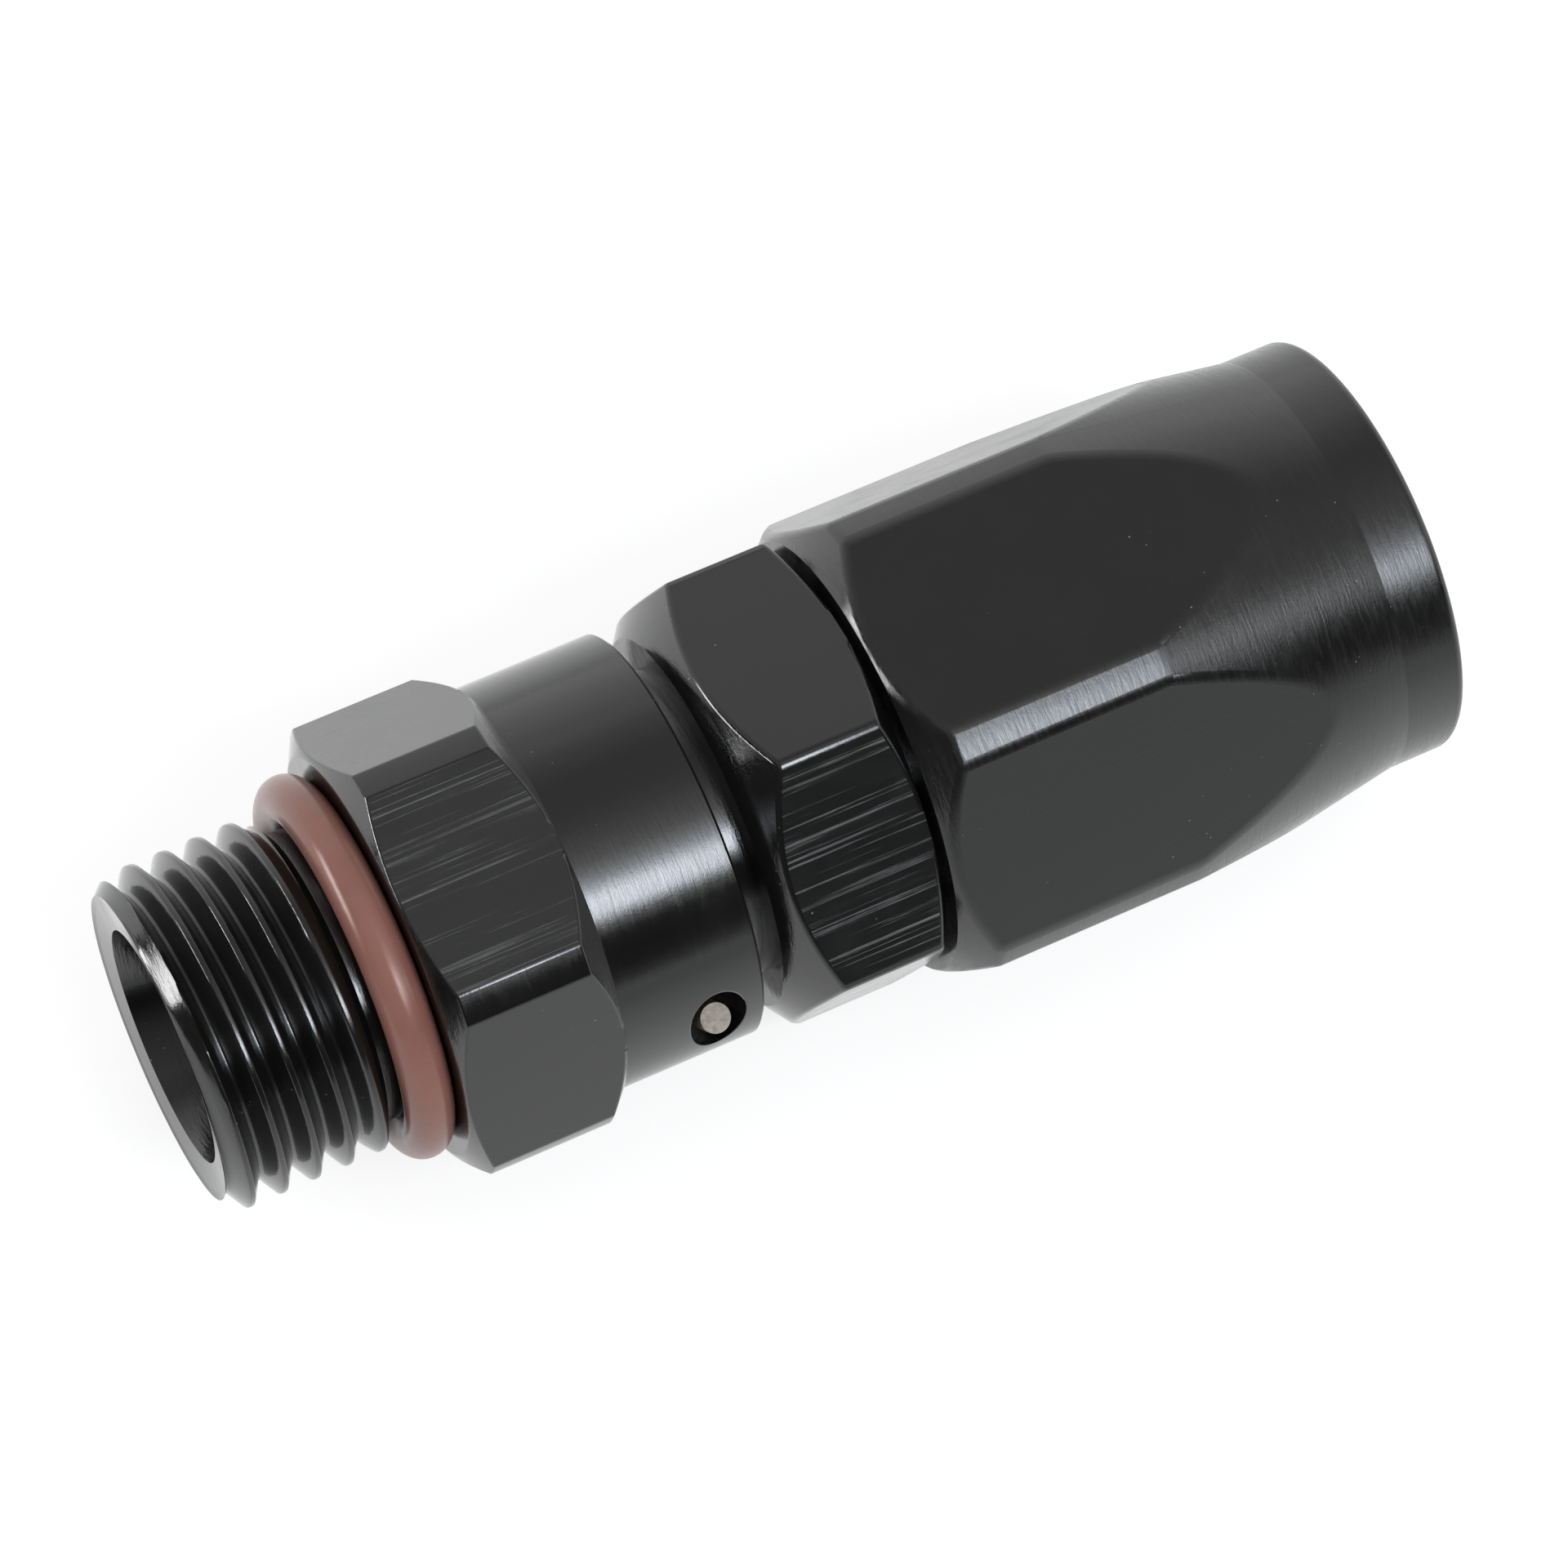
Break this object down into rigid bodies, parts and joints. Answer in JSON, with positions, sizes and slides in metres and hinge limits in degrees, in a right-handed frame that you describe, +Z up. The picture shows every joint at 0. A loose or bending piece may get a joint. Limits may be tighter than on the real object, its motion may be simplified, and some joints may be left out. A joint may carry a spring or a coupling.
{
  "type": "swivel hose end",
  "caption": "Straight swivel hose end with a male O-ring port thread, chamfered hexes, a wire-retained swivel collar and a screwed-on hose socket.",
  "frame": {"origin": "centre of the port thread's end face, on the fitting's axis", "axes": "+X along the axis from the port thread towards the hose, +Z up, normal to the socket's flat that faces up, so the opposite flat faces down"},
  "size_m": [0.0537, 0.0212, 0.0192],
  "materials": {
    "port_anodised": "glossy black anodised, fine turning and milling marks",
    "nipple_anodised": "glossy black anodised, fine turning and milling marks",
    "socket_anodised": "glossy black anodised, fine turning and milling marks",
    "port_seal": "brown-pink fluorocarbon rubber, soft sheen",
    "swivel_seal": "black rubber, soft sheen",
    "wire_steel": "plain drawn steel wire with a cut end"
  },
  "bodies": {
    "nipple": {"nipple": "nipple_anodised", "swivel_o_ring_front": "swivel_seal", "swivel_o_ring_rear": "swivel_seal"},
    "port_end": {"port_body": "port_anodised", "port_o_ring": "port_seal", "retaining_wire": "wire_steel"},
    "socket": {"hose_socket": "socket_anodised"}
  },
  "joints": [
    {"name": "port_swivel", "type": "hinge", "parent": "nipple", "child": "port_end", "pos_m": [0.01633, 0, 0], "axis": [1, 0, 0], "continuous": true},
    {"name": "socket_draw_off", "type": "slide", "parent": "nipple", "child": "socket", "axis": [1, 0, 0], "range_m": [0, 0.024]}
  ]
}
